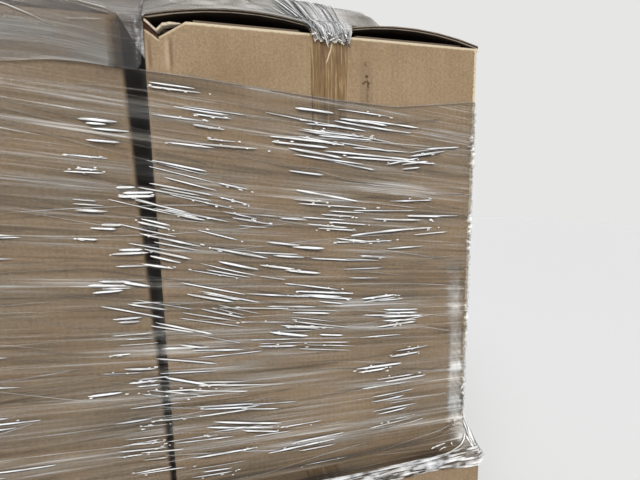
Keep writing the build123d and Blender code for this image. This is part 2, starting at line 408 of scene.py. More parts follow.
def wood_material(name, long_axis, light, dark):
    """Sawn softwood with grain along one axis, a fine speckle, and grey weathering."""
    wood = Finish(name)
    place = wood.place()
    along = [26, 26, 26]
    along[long_axis] = 1.4
    grain = wood.noise(wood.scaled(place, along), 2.2, 6, 0.62, 0.8)
    lighter = (*[min(1, part * 1.15) for part in light[:3]], 1)
    wood.colour = wood.ramp(grain, [(0.32, dark), (0.5, light), (0.72, lighter)])
    wood.paint(srgb(134, 122, 104), wood.greys(wood.noise(place, 5, 4), (0.45, 0), (0.7, 0.4)))
    wood.overlay(0.2, wood.noise(place, 240, 3), (0.3, 0.25), (0.7, 0.65))
    return wood.done(0.8, grain, 0.5, 0.001)


def film_material():
    """Clear stretch film: a thin haze, white on its drawn folds, partly from denser film and partly a
    painted highlight, and painted shade in the creases beside them.
    """
    clear = Finish("stretch_film")
    uv = clear.add("ShaderNodeUVMap", uv_map="unrolled").outputs[0]
    light_and_shade = clear.add("ShaderNodeAttribute", attribute_name="light_and_shade").outputs["Fac"]
    veil = clear.add("ShaderNodeAttribute", attribute_name="veil").outputs["Fac"]
    fine = clear.noise(clear.scaled(uv, (7, 420, 1)), 1, 4, 0.65)
    long = clear.noise(clear.scaled(uv, (3, 110, 1)), 1, 3, 0.5, 0.5)
    broad = clear.noise(clear.scaled(uv, (6, 22, 1)), 1, 3)
    # Faint lines of painted light and shade along the film.
    fine_lines = clear.span(fine, 0.3, 0.7, -0.22, 0.24)
    long_lines = clear.span(long, 0.3, 0.7, -0.27, 0.21)
    line_share = clear.maths("MINIMUM", veil, clear.line(veil, -0.5, 1.8))
    tone = clear.line(clear.maths("ADD", fine_lines, long_lines), line_share, light_and_shade)
    warm = [
        (0.0, srgb(34, 27, 22)), (0.3, srgb(62, 52, 44)), (0.44, srgb(92, 82, 74)),
        (0.52, srgb(124, 115, 107)), (0.6, srgb(168, 160, 150)), (0.75, srgb(240, 236, 228)),
        (1.0, srgb(254, 253, 250)),
    ]
    cool = [
        (0.0, srgb(30, 28, 28)), (0.3, srgb(58, 56, 56)), (0.44, srgb(88, 88, 82)),
        (0.52, srgb(121, 119, 115)), (0.6, srgb(163, 161, 155)), (0.75, srgb(236, 236, 238)),
        (1.0, srgb(252, 253, 254)),
    ]
    at_tone = clear.span(tone, -1, 1)
    coolness = clear.greys(broad, (0.42, 0), (0.58, 1))
    clear.colour = clear.mixed(coolness, clear.ramp(at_tone, warm), clear.ramp(at_tone, cool))
    haze = clear.maths("MULTIPLY", clear.span(broad, 0.3, 0.7, 0.09, 0.28), veil)
    drawn = clear.maths("ABSOLUTE", tone)
    clear.give("Alpha", clear.maths("MULTIPLY_ADD", drawn, 0.95, haze, use_clamp=True))
    return clear.done(0.14, fine, 0.35, 0.0008, gloss=0.6)


def torn_board_material():
    """The pale fibres of torn board."""
    torn = Finish("torn_board")
    fibres = torn.noise(torn.place(), 420, 4, 0.7)
    tones = [(0.3, srgb(150, 128, 100)), (0.5, srgb(208, 192, 168)), (0.7, srgb(232, 222, 206))]
    torn.colour = torn.ramp(fibres, tones)
    return torn.done(0.9, fibres, 0.6, 0.0008)


worn_kraft = WornBoard("kraft_board_worn", 1.0).finished()
# The other cartons' board is a 4% darker copy: painted shade.
kraft = KraftBoard("kraft_board", 0.96).finished()
torn_board = torn_board_material()
brown_tape = tape_material()
light_wood, dark_wood = srgb(196, 164, 118), srgb(150, 116, 76)
wood_along_y = wood_material("pallet_wood_long", 1, light_wood, dark_wood)
wood_along_x = wood_material("pallet_wood_cross", 0, light_wood, dark_wood)
wood_block = wood_material("pallet_wood_block", 1, srgb(178, 144, 100), srgb(126, 96, 62))
film = film_material()


def dress(name, material):
    """Give one carried-over piece its finish."""
    obj = nodes[name]
    obj.data.materials.clear()
    obj.data.materials.append(material)


for name in nodes:
    if name.startswith("block"):
        dress(name, wood_block)
    elif name.startswith("stringer"):
        dress(name, wood_along_x)
    elif "board" in name:
        dress(name, wood_along_y)
    elif "tape" in name:
        dress(name, brown_tape)
    elif name == "upper_carton_front_right":
        dress(name, worn_kraft)
    elif "film" not in name:
        dress(name, kraft)


# Small pieces of board on the carton in front

def start_piece(name, place, size):
    """A cube of given edge lengths at a place, alone selected and in edit mode on its faces."""
    bpy.ops.object.select_all(action="DESELECT")
    bpy.ops.mesh.primitive_cube_add(size=1, location=place)
    piece = bpy.context.object
    piece.name = name
    bpy.ops.object.mode_set(mode="EDIT")
    bpy.ops.mesh.select_mode(type="FACE")
    bpy.ops.transform.resize(value=size)
    return piece


def pick_faces(piece, wanted):
    """Select the faces whose normal passes a test."""
    bpy.ops.mesh.select_all(action="DESELECT")
    bpy.ops.object.mode_set(mode="OBJECT")
    for face in piece.data.polygons:
        face.select = wanted(face.normal)
    bpy.ops.object.mode_set(mode="EDIT")


def finish_piece(piece, rounding, material):
    """Round the edges, put the piece's place into its mesh, and give it its finish."""
    bpy.ops.object.mode_set(mode="OBJECT")
    rounded = piece.modifiers.new("rounded", "BEVEL")
    rounded.width = rounding
    rounded.segments = 2
    bpy.ops.object.modifier_apply(modifier=rounded.name)
    bpy.ops.object.transform_apply(location=True, rotation=True, scale=True)
    piece.data.materials.append(material)
    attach(piece, "root")


def torn_corner_lip():
    """The torn lip of board folded down and up again in the crushed corner."""
    folds = [
        (0.0027, -0.0021), (0.0147, -0.0125), (0.0219, -0.0057), (0.0308, -0.0034), (0.0419, -0.0024),
    ]
    start_x, start_z = folds[0]
    place = (carton_low.x + start_x, front + BOARD, tier2_top + start_z)
    piece = start_piece("torn_corner_lip", place, (0.0006, 0.010, 0.0030))
    pick_faces(piece, lambda normal: normal.x > 0.9)
    for (x, z), (next_x, next_z) in zip(folds, folds[1:]):
        bpy.ops.mesh.extrude_region_move(TRANSFORM_OT_translate={"value": (next_x - x, 0, next_z - z)})
    bpy.ops.transform.resize(value=(1, 0.6, 0.4))
    bpy.ops.mesh.select_all(action="SELECT")
    bpy.ops.mesh.subdivide(number_cuts=3)
    bpy.ops.object.mode_set(mode="OBJECT")
    ragged = piece.modifiers.new("ragged", "DISPLACE")
    ragged.texture = bpy.data.textures.new("ragged", "CLOUDS")
    ragged.texture.noise_scale = 0.0015
    ragged.strength = 0.0016
    bpy.ops.object.modifier_apply(modifier=ragged.name)
    finish_piece(piece, 0.0002, torn_board)


def inner_flap(name, hinge_x, free_x):
    """A side flap folded in under the outer flaps, where its cut edge shows in their gap."""
    depth, slant, end = 0.24, 0.010, math.copysign(0.012, free_x - hinge_x)
    middle = ((hinge_x + free_x - end) / 2, front + 0.005 + depth / 2, tier2_top + 0.0026)
    piece = start_piece(name, middle, (abs(free_x - end - hinge_x), depth, BOARD))
    pick_faces(piece, lambda normal: normal.x * end > 0.9 * abs(end))
    bpy.ops.mesh.extrude_region_move(TRANSFORM_OT_translate={"value": (end, 0, 0)})
    bpy.ops.transform.resize(value=(1, 1 - 2 * slant / depth, 1))
    finish_piece(piece, 0.0004, kraft)


torn_corner_lip()
inner_flap("inner_flap_left", carton_low.x + 0.056, tape_low.x - 0.003)
inner_flap("inner_flap_right", carton_high.x - 0.026, tape_high.x + 0.003)


# Stretch film: each piece is a thin surface with the folds of drawn film standing on it

CORNER = 0.0045
SIDE_LENGTHS = [0.93, 1.12, 0.93, 1.12]
SIDE_STARTS = np.concatenate([[0], np.cumsum(SIDE_LENGTHS)])
AROUND = SIDE_STARTS[-1]
FRONT_WIDE = SIDE_LENGTHS[0]


def smooth_step(value, low, high):
    """0 at low, 1 at high, and an easy rise between."""
    part = np.clip((value - low) / (high - low), 0, 1)
    return part * part * (3 - 2 * part)


def wrap_point(s, left, right, low_y, high_y, z, out):
    """A point of a wrap: s runs round from the front left corner, and out is the distance outwards."""
    turn = np.interp(s % AROUND, SIDE_STARTS, np.arange(5))
    side = np.floor(turn).astype(int) % 4
    start_x = np.choose(side, [left, right, right, left])
    start_y = np.choose(side, [low_y, low_y, high_y, high_y])
    along_x = np.choose(side, [1, 0, -1, 0])
    along_y = np.choose(side, [0, 1, 0, -1])
    length = np.where(side % 2 == 0, right - left, high_y - low_y)
    run = (turn - np.floor(turn)) * length
    heading = (side - 1) * math.pi / 2
    first = np.clip(1 - run / CORNER, 0, 1)
    last = np.clip(1 - (length - run) / CORNER, 0, 1)
    angle = heading + (last - first) * math.pi / 4
    centre_run = np.clip(run, CORNER, length - CORNER)
    x = start_x + along_x * centre_run - np.cos(heading) * CORNER + (CORNER + out) * np.cos(angle)
    y = start_y + along_y * centre_run - np.sin(heading) * CORNER + (CORNER + out) * np.sin(angle)
    return np.stack([x, y, z], axis=-1)


def corner_distance(s):
    """The distance along the wrap to the nearest upright corner."""
    apart = (np.asarray(s)[..., None] - SIDE_STARTS + AROUND / 2) % AROUND - AROUND / 2
    return np.abs(apart).min(axis=-1)


upper_left_foot = left_high.x - carton_width
EDGE_Z = tier2_foot + 0.004
TURN_DOWN = tier2_foot - 0.036
LOWER_FOOT = 0.114


def leave_level(s):
    """Where the upper film leaves the cartons: close to their foot, and higher at the corners."""
    return tier2_foot + 0.010 + 0.036 * np.exp(-(corner_distance(s) / 0.03) ** 2)


def place_upper(s, level, out):
    """The upper film: up the cartons, out over the ledge, and down over the edge of the lower tier."""
    leave = leave_level(s)
    k = np.clip((leave - level) / (leave - TURN_DOWN), 0, 1)
    z = np.where(level > leave, level, leave + (EDGE_Z - leave) * k)
    z = np.where(level < TURN_DOWN, EDGE_Z + level - TURN_DOWN, z)
    upright = np.maximum(level, leave)
    left = upper_left_foot - lean * (upright - tier2_foot)
    left = left + (lower_left_low.x - left) * k
    right = carton_high.x + (lower_high.x - carton_high.x) * k
    low_y = front + (lower_low.y - front) * k
    high_y = back_high.y + (lower_back_high.y - back_high.y) * k
    lying = np.clip(np.minimum(k, 1 - k) * 8, 0, 1) * 0.8
    return wrap_point(s, left, right, low_y, high_y, z + out * lying, out * (1 - lying))


def place_lower(s, level, out):
    """The lower film: down the lower cartons to the pallet's deck."""
    k = np.clip((tier1_top - level) / 0.6, 0, 1)
    left = lower_left_low.x + (deck_low.x - lower_left_low.x) * k
    right = lower_high.x + (deck_high.x - lower_high.x) * k
    low_y = lower_low.y + (deck_low.y - lower_low.y) * k
    high_y = lower_back_high.y + (deck_high.y - lower_back_high.y) * k
    return wrap_point(s, left, right, low_y, high_y, level + 0 * s, out)


class FilmSheet:
    """Gathers the surface of one film piece, or the folds that stand on it, and makes its mesh."""

    def __init__(self, place, seed, skew=lambda s, level: 0 * s):
        self.place = place
        self.skew = skew
        self.rng = np.random.default_rng(seed)
        self.patches = []
        self.count = 0

    def grid(self, s, level, out, light_and_shade, veil=0.0):
        """A patch as rows of points. light_and_shade is -1 in the painted shade of a fold, 0 on flat
        film and 1 on the painted highlight of a white fold.
        veil is the film's own haze: 1 on plain film, up to 3 where it is dense, and 0 on a fold."""
        rows, columns = s.shape
        first = (np.arange(rows - 1)[:, None] * columns + np.arange(columns - 1)).ravel()
        quads = np.stack([first, first + 1, first + columns + 1, first + columns], axis=1)
        points = self.place(s, level, out).reshape(-1, 3)
        unrolled = np.stack([s, level + self.skew(s, level)], axis=-1).reshape(-1, 2)
        values = np.stack(np.broadcast_arrays(light_and_shade, veil, s)[:2], axis=-1).reshape(-1, 2)
        self.patches.append((points, unrolled, values, quads + self.count))
        self.count += s.size

    def fold(self, s, level, half_width, bright, shade, height=None, lift=0.0016):
        """A drawn fold along a line: a crest with its painted brightness and a flank of painted shade on
        each side, tapering to its ends.
        """
        along_s, along_level = np.gradient(s), np.gradient(level)
        size = np.hypot(along_s, along_level)
        travelled = np.concatenate([[0], np.cumsum(np.hypot(np.diff(s), np.diff(level)))])
        run = 2 * travelled / travelled[-1] - 1
        taper = np.clip(1 - run ** 4, 0.02, 1) ** 0.4
        uneven = 1 + 0.2 * np.sin(run * self.rng.uniform(4, 11) + self.rng.uniform(0, 7))
        across = np.array([2.7, 1.6, 0.75, -0.75, -1.7, -3.4])[:, None] * half_width * taper * uneven
        rise = np.array([0, 0.1, 0.9, 0.9, 0.1, 0])[:, None] * (height or half_width * 1.3) * taper
        glow = 1 + 0.32 * np.sin(run * self.rng.uniform(3, 9) + self.rng.uniform(0, 7))
        # Painted highlight on the crest, painted shade on the flanks.
        light_and_shade = np.array([0, -0.6 * shade, bright, bright, -shade, 0])[:, None] * glow
        lift += 0.0003 * (len(self.patches) % 4)
        self.grid(s - across * along_level / size, level + across * along_s / size, lift + rise, light_and_shade)

    def cluster(self, centre, at, length, fall, strength):
        """A few nearly parallel folds, some with small beads of painted glint where the film is caught.
        """
        rng = self.rng
        offset = 0
        for _ in range(rng.choice([1, 1, 1, 2, 2, 3])):
            own = length * rng.uniform(0.45, 1.1)
            slide = rng.normal(0, length * 0.2)
            slope = fall + rng.normal(0, 0.015)
            bend = rng.normal(0, 0.25)
            s, level = line_of(centre + slide, at - offset - fall * slide, own, slope, bend)
            bright = strength * rng.uniform(0.85, 1.3)
            half_width = rng.uniform(0.0005, 0.0011) * (0.8 + 0.45 * strength)
            self.fold(s, level, half_width, bright, 0.8 + 0.5 * strength)
            if rng.random() < 0.42 * strength:
                for _ in range(rng.integers(2, 6)):
                    spot = slide + rng.uniform(-0.55, 0.7) * own
                    small = rng.uniform(0.002, 0.006)
                    s, level = line_of(centre + spot, at - offset - fall * spot, small, fall)
                    self.fold(s, level + rng.normal(0, 0.0014), 0.0008, 0.85, 0.3, lift=0.0024)
            offset += rng.uniform(0.0035, 0.008)

    def mesh(self, name):
        """The finished piece as an object."""
        points, unrolled, values, faces = [np.concatenate(kind) for kind in zip(*self.patches)]
        mesh = bpy.data.meshes.new(name)
        mesh.from_pydata(points.tolist(), [], faces.tolist())
        corner_points = np.empty(len(mesh.loops), int)
        mesh.loops.foreach_get("vertex_index", corner_points)
        places = unrolled[corner_points].astype(np.float32)
        mesh.uv_layers.new(name="unrolled").data.foreach_set("uv", places.ravel())
        for kind, column in zip(("light_and_shade", "veil"), values.astype(np.float32).T):
            drawn = mesh.attributes.new(kind, "FLOAT", "POINT")
            drawn.data.foreach_set("value", np.ascontiguousarray(column))
        mesh.shade_smooth()
        mesh.materials.append(film)
        obj = bpy.data.objects.new(name, mesh)
        bpy.context.scene.collection.objects.link(obj)
        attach(obj, "root")
        return obj


def line_of(centre, at, length, fall, bend=0.0):
    """Points of one fold's line, closer at its ends: its middle, length, fall to the right, and bend."""
    turns = np.linspace(-math.pi / 2, math.pi / 2, int(np.clip(length / 0.011, 5, 11)))
    half = np.sin(turns) / 2 * length
    return centre + half, at - fall * half + bend * (half ** 2 - (length / 2) ** 2)


def stations(front_step, side_step):
    """Places along a wrap, closer together at the corners and on the front."""
    near = np.array([0, 0.25, 0.5, 0.75, 1.0, 1.6, 2.6, 4.2]) * CORNER
    runs = []
    for side, length in enumerate(SIDE_LENGTHS):
        step = side_step if side else front_step
        middle = np.linspace(0.02, length - 0.02, int((length - 0.04) / step))
        runs.append(SIDE_STARTS[side] + np.concatenate([near, middle, length - near[::-1]]))
    return np.concatenate(runs)


def bumps(s, level, spots, longs, wides, talls, angles, round_trip=0.0):
    """Soft raised ridges at given spots, as heights over a grid of places."""
    height = np.zeros(s.shape)
    for (at_s, at), long, wide, tall, angle in zip(spots, longs, wides, talls, angles):
        apart = s - at_s
        if round_trip:
            apart = (apart + round_trip / 2) % round_trip - round_trip / 2
        near = (np.abs(apart) < 2.2 * long) & (np.abs(level - at) < 2.2 * long)
        ds, dl = apart[near], level[near] - at
        along = ds * math.cos(angle) + dl * math.sin(angle)
        over = dl * math.cos(angle) - ds * math.sin(angle)
        height[near] += tall * np.exp(-((along / long) ** 2) - (over / wide) ** 2)
    return height


def tension_ridges(rng, s, level, low, high, count, fall):
    """The long soft ridges of stretched film round a tier."""
    spots = np.stack([rng.uniform(0, AROUND, count), rng.uniform(low, high, count)], axis=1)
    angles = [-math.atan(fall(*spot) + rng.normal(0, 0.03)) for spot in spots]
    longs, wides = rng.uniform(0.03, 0.16, count), rng.uniform(0.003, 0.007, count)
    return bumps(s, level, spots, longs, wides, rng.uniform(0.0006, 0.002, count), angles, AROUND)


def corner_crumple(sheet, corner, low, high, reach, step, strength):
    """The crumpled film over one upright corner: small creases in all directions, with painted
    highlights on their tops and painted shade in their hollows.
    """
    rng = sheet.rng
    s, level = np.meshgrid(np.arange(-reach, reach * 0.7, step), np.arange(low, high, step * 1.25))
    count = int((high - low) * 1900)
    spots = np.stack([rng.normal(0, reach * 0.4, count), rng.uniform(low, high, count)], axis=1)
    longs, wides = rng.uniform(0.003, 0.011, count), rng.uniform(0.7, 1.5, count) * step
    talls, angles = rng.normal(0, 1, count), rng.normal(0, 0.75, count)
    height = bumps(s, level, spots, longs, wides, talls, angles)
    near = np.exp(-((s + 0.002) / (reach * 0.42)) ** 2)
    fade = np.clip((s + reach) / 0.006, 0, 1) * np.clip((reach * 0.7 - s) / 0.006, 0, 1)
    patchy = 0.45 + 0.55 * np.sin(level * 23 + corner * 5) ** 2
    blend = near * fade * patchy * strength
    light_and_shade = np.clip(height * 0.8, -0.75, 1.0) * blend + 0.1 * blend
    sheet.grid(s + corner, level, 0.003 + np.clip(height, -1.5, 2.0) * 0.0009 * near, light_and_shade)


def upper_top_edge(s):
    """The top edge of the upper film: it dips to the right on the front, and wanders round the load."""
    start = (carton_low.x - upper_left_foot) / (carton_high.x - upper_left_foot) * FRONT_WIDE
    spots = start + np.array([-0.47, -0.2, -0.01, 0.14, 0.415, 0.552, 0.733, 1.0]) * carton_width
    drops = np.array([0.050, 0.046, 0.057, 0.062, 0.075, 0.081, 0.086, 0.075])
    spots = np.concatenate([spots, [1.3, 1.75, 2.04, 2.5, 2.97, 3.5, AROUND]])
    drops = np.concatenate([drops, [0.062, 0.075, 0.07, 0.084, 0.06, 0.072, 0.05]])
    return tier2_top - np.interp(s % AROUND, spots, drops)


def upper_fall(s, level):
    """How much a tension line of the upper film falls to the right: most at the top."""
    return 0.02 + 0.12 * np.clip((level - tier2_foot) / (tier2_top - tier2_foot) * 1.4, 0, 1)


def front_run(x, level):
    """The place along the upper wrap of a point x metres from the front right carton's left edge."""
    left = upper_left_foot - lean * (level - tier2_foot)
    return (carton_low.x + x - left) / (carton_high.x - left) * FRONT_WIDE


# Where the light catches the film on the front: the middle of each patch of folds from the carton's
# left edge, the drop of its first and last folds below the top, the step between them, their slope down
# to the right, and their length. All but the slope are millimetres
FRONT_PATCHES = [
    (60, 80, 160, 16, 0.12, 72),
    (20, 165, 235, 12, 0.24, 80),
    (105, 200, 250, 15, 0.24, 66),
    (80, 262, 400, 18, 0.29, 78),
    (150, 235, 330, 16, 0.16, 66),
    (150, 345, 420, 15, 0.14, 84),
    (110, 460, 540, 18, 0.14, 108),
    (225, 100, 185, 13, 0.12, 100),
    (275, 94, 165, 14, 0.10, 125),
    (225, 205, 300, 15, 0.13, 90),
    (200, 315, 420, 15, 0.14, 78),
    (335, 220, 285, 15, 0.0, 120),
    (285, 275, 345, 22, 0.06, 60),
    (365, 138, 166, 8, -0.15, 55),
    (325, 400, 560, 26, -0.02, 84),
    (-4, 212, 470, 24, 0.28, 70),
    (-54, 110, 330, 19, 0.06, 42),
    (-34, 340, 470, 19, 0.04, 46),
    (55, 405, 590, 20, 0.05, 78),
    (310, 350, 400, 17, 0.05, 74),
    (-20, 480, 580, 14, 0.03, 68),
    (200, 540, 602, 24, 0.0, 96),
    (-240, 90, 560, 20, 0.08, 110),
    (-370, 90, 560, 22, 0.05, 110),
]


def upper_stretch_film():
    """The film round the upper tier, stretched smooth, with its top edge turned over."""
    sheet = FilmSheet(place_upper, 7, lambda s, level: 0.9 * upper_fall(s, level) * s)
    columns = stations(0.008, 0.017)
    top = upper_top_edge(columns)
    level = top + (TURN_DOWN - 0.014 - top) * np.linspace(0, 1, 116)[:, None]
    s = np.broadcast_to(columns, level.shape)
    height = tension_ridges(sheet.rng, s, level, TURN_DOWN, tier2_top - 0.06, 420, upper_fall)
    depth = tier2_top - level
    strip = smooth_step(np.abs(FRONT_WIDE - s - 0.0405 + 0.0415 * depth), 0.0165, 0.0085)
    strip = strip * smooth_step(depth, 0.29, 0.36)
    whiter = strip * (0.22 + 0.1 * np.sin(level * 310 + 2 * np.sin(level * 90)) * np.sin(s * 700))
    left_edge = upper_left_foot + carton_width - lean * (level - tier2_foot) - carton_low.x
    gap_left, gap_right = front_run(left_edge, level), front_run(0, level)
    over_gap = smooth_step(s, gap_left - 0.002, gap_left + 0.002)
    over_gap = over_gap * smooth_step(s, gap_right + 0.001, gap_right - 0.001)
    # Painted shade where the film leaves the cartons' foot and behind the roll, and a painted highlight
    # on the tops of the ridges.
    foot = np.exp(-((level - leave_level(s) - 0.002) / 0.004) ** 2) * (corner_distance(s) > 0.02)
    behind_roll = np.exp(-((level - tier2_foot + 0.019) / 0.009) ** 2) * (0.75 + 0.25 * np.sin(s * 31))
    dark = 0.42 * foot + 0.66 * behind_roll * smooth_step(corner_distance(s), 0.03, 0.07)
    light_and_shade = np.clip(height / 0.006, 0, 0.22) + whiter - dark
    sheet.grid(s, level, 0.0009 + height, light_and_shade, 1 + 2 * strip - 0.8 * over_gap)
    # The turned-over top edge: paler on top, with a line of painted shade under it.
    edge = np.linspace(0, AROUND, 420)
    sheet.grid(
        np.stack([edge] * 4), upper_top_edge(edge) - np.array([[-0.0009], [0.0005], [0.0018], [0.0038]]),
        0.0014 + np.zeros((4, 420)), np.array([[0.1], [0.3], [-0.5], [0]]),
    )
    return sheet.mesh("upper_stretch_film")


def upper_folds():
    """The drawn folds that catch the light on the upper film, and its crumpled corners."""
    sheet = FilmSheet(place_upper, 8)
    rng = sheet.rng
    highest = tier2_top - 0.09
    for centre, first, last, step, fall, length in FRONT_PATCHES:
        for drop in np.arange(first, last, 0.86 * step):
            at = tier2_top - (drop + rng.normal(0, 3)) / 1000
            run = front_run((centre + rng.normal(0, 13)) / 1000, at)
            sheet.cluster(run, at, length / 1000, fall + rng.normal(0, 0.03), rng.uniform(0.6, 1.1))
    for _ in range(430):
        centre, at = rng.uniform(FRONT_WIDE + 0.02, AROUND - 0.02), rng.uniform(TURN_DOWN, highest)
        fall = upper_fall(centre, at) + rng.normal(0, 0.05)
        sheet.cluster(centre, at, rng.uniform(0.04, 0.13), fall, rng.uniform(0.3, 1))
    for _ in range(600):
        centre, at = rng.uniform(0, AROUND * (0.4 + 0.6 * rng.random())), rng.uniform(TURN_DOWN, highest)
        fall = upper_fall(centre, at) + rng.normal(0, 0.09)
        s, level = line_of(centre, at, rng.uniform(0.08, 0.34), fall, rng.normal(0, 0.25))
        bright = rng.choice([-0.34, 0.2, 0.42]) * rng.uniform(0.6, 1.1)
        level = np.minimum(level, upper_top_edge(s) - 0.003)
        sheet.fold(s, level, rng.uniform(0.0004, 0.0009), bright, 0.16, 0.0004, 0.0012)
    for number, corner in enumerate(SIDE_STARTS[:4]):
        step, strength = (0.0011, 1.0) if number == 1 else (0.0022, 0.8)
        top = upper_top_edge(corner) - 0.002
        corner_crumple(sheet, corner, tier2_foot + 0.05, top, 0.02, step, strength)
    return sheet.mesh("upper_film_folds")


# Folds of the web of film at the front right corner: places along the front from that corner, heights
# above the upper tier's foot, and half width, in millimetres
WEB_FOLDS = [
    ([-1, -2, -4, -4, -2], [48, 20, 0, -18, -36], 1.8),
    ([-6, -7, -8, -7], [30, 12, -4, -20], 0.8),
    ([-12, -17, -26, -45, -60, -105, -170], [4, -8, -18, -26, -29, -32, -36], 1.4),
    ([-12, -11, -9, -6], [2, -12, -24, -32], 1.1),
    ([-70, -56, -44], [-11, -8, -6], 1.3),
    ([-60, -52, -46], [-18, -15, -14], 0.8),
    ([-34, -37, -36], [-7, -10, -13], 0.7),
    ([1, 2, 4], [30, 0, -30], 1.2),
]


def gathered_roll():
    """The lower edge of the upper film, rolled up into strands along the edge of the lower tier."""
    sheet = FilmSheet(place_upper, 19)
    rng = sheet.rng
    s = np.linspace(0, AROUND, 900)
    turn = np.linspace(0, 2 * math.pi, 7)[:, None]
    spread = 0.72 + 0.5 * np.exp(-(corner_distance(s) / 0.045) ** 2)
    for offset in np.linspace(-0.014, 0.012, 12):
        waves = 0
        for number in (3, 7, 13, 29):
            waves = waves + np.sin(s * number * math.tau / AROUND + rng.uniform(0, 7)) / number
        radius = rng.uniform(0.0008, 0.0021)
        radius = radius * (1 + 0.4 * np.sin(s * rng.uniform(30, 70) + rng.uniform(0, 7)))
        level = TURN_DOWN + offset * spread + 0.0018 * waves + radius * np.cos(turn)
        out = 0.002 + rng.uniform(0, 0.0015) + radius * (1 + np.sin(turn))
        mottle = 0.35 * np.sin(s * rng.uniform(60, 160) + rng.uniform(0, 7))
        mottle = mottle + 0.25 * np.sin(s * rng.uniform(15, 45))
        mottle = mottle + 0.3 * np.sin(s * rng.uniform(200, 420)) * np.sin(s * rng.uniform(40, 90))
        # Whitish strands, with painted shade on each strand's underside.
        light_and_shade = np.clip(0.5 + mottle, 0.05, 1.0) - 1.6 * (np.cos(turn) < -0.8)
        sheet.grid(np.broadcast_to(s, level.shape), level, out, light_and_shade)
    for start, drop, length in WEB_FOLDS:
        part = np.linspace(0, 1, 14)
        places = np.linspace(0, 1, len(drop))
        line = FRONT_WIDE + np.interp(part, places, start) / 1000
        level = tier2_foot + np.interp(part, places, drop) / 1000
        sheet.fold(line, level, length / 1000, 0.95, 0.8, 0.002, 0.0022)
    return sheet.mesh("gathered_film_roll")


def lower_stretch_film():
    """The film round the lower tier and the pallet's deck."""
    sheet = FilmSheet(place_lower, 11)
    columns = stations(0.016, 0.017)
    top = tier1_top - 0.125 + 0.012 * np.sin(columns * 3.08 + 0.6)
    level = top + (LOWER_FOOT - top) * np.linspace(0, 1, 90)[:, None]
    s = np.broadcast_to(columns, level.shape)
    high = tier1_top - 0.13
    height = tension_ridges(sheet.rng, s, level, LOWER_FOOT, high, 380, lambda s, level: 0.01)
    # A painted highlight on the tops of the ridges.
    sheet.grid(s, level, 0.0011 + height, np.clip(height / 0.006, 0, 0.22), 1.0)
    return sheet.mesh("lower_stretch_film")


def lower_folds():
    """The drawn folds and crumpled corners of the lower film."""
    sheet = FilmSheet(place_lower, 12)
    rng = sheet.rng
    for _ in range(620):
        centre, at = rng.uniform(0.02, AROUND - 0.02), rng.uniform(0.12, tier1_top - 0.15)
        length, fall = rng.uniform(0.04, 0.14), 0.01 + rng.normal(0, 0.05)
        sheet.cluster(centre, at, length, fall, rng.uniform(0.3, 1))
    for corner in SIDE_STARTS[:4]:
        corner_crumple(sheet, corner, 0.12, tier1_top - 0.14, 0.02, 0.0022, 0.8)
    return sheet.mesh("lower_film_folds")


# Loose film over the top

left_top_x = left_low.x
right_top_x = carton_high.x


def flap_height(x, y):
    """The top of the bowed flaps above the cartons' walls."""
    inside = np.where(x > carton_low.x - 0.003, x - carton_low.x, x - left_top_x)
    edge_apart = np.clip(np.minimum(inside, carton_width - inside), 0, None)
    across = np.clip(edge_apart / (carton_width / 2 - tape_half - 0.002), 0, 1)
    depth = back - 0.003
    along = np.clip((np.abs(y) - 0.003 - depth / 2) / (depth / 2), -1, 1)
    bow = FRONT_FLAP_BOW + (MIDDLE_FLAP_BOW - FRONT_FLAP_BOW) * (1 - along ** 2)
    return BOARD + SEAM_RISE * across + 4 * across * (1 - across) * (bow - SEAM_RISE / 2)


def drape_slant(across):
    """How far behind the front the loose film's edge lies to the right of the tape."""
    return 0.62 * np.clip(across - 0.256, 0, None)


def drape_height(x, y):
    """The loose film above the walls: it billows behind the front edge and then rests on the flaps."""
    behind = y - front
    across = x - carton_low.x
    spots = [-0.4, 0, 0.15, 0.21, 0.275, 0.30, 0.33, 0.36, 0.40]
    crown = np.interp(across, spots, [0.046, 0.046, 0.053, 0.050, 0.046, 0.044, 0.040, 0.034, 0.026])
    sway = 0.004 * np.sin(x * 23 + y * 9) + 0.003 * np.sin(y * 31 - x * 12 + 1)
    settle = smooth_step(behind, 0.10, 0.34)
    loose = crown * smooth_step(behind, -0.010, 0.034) * (1 - settle) + (0.040 + sway) * settle
    inward = np.where(across > 0.256, behind - drape_slant(across), 1)
    loose = loose * smooth_step(inward, -0.01, 0.016)
    sides = smooth_step(np.minimum(x - left_top_x, right_top_x - x), -0.01, 0.09)
    sides = sides * smooth_step(back - y, -0.01, 0.09)
    flaps = flap_height(x, y) + 0.0015
    apart = loose * sides - flaps
    return flaps + 0.5 * (apart + np.sqrt(apart ** 2 + 0.003 ** 2))


def place_top(u, v, out):
    """The film over the top, where u and v past the edges of the load hang down its sides."""
    x = np.clip(u, left_top_x, right_top_x)
    y = np.clip(v, front, back)
    over_x, over_y = u - x, v - y
    hang = np.maximum(np.abs(over_x), np.abs(over_y)) + 0.3 * np.minimum(np.abs(over_x), np.abs(over_y))
    easing = np.clip(hang / 0.004, 0, 1)
    z = tier2_top + drape_height(x, y) - hang + out * (1 - easing)
    beside = (0.0026 + out) * easing
    x = x + np.sign(over_x) * beside * (np.abs(over_x) > 0)
    y = y + np.sign(over_y) * beside * (np.abs(over_y) > 0)
    return np.stack([x, y, z], axis=-1)


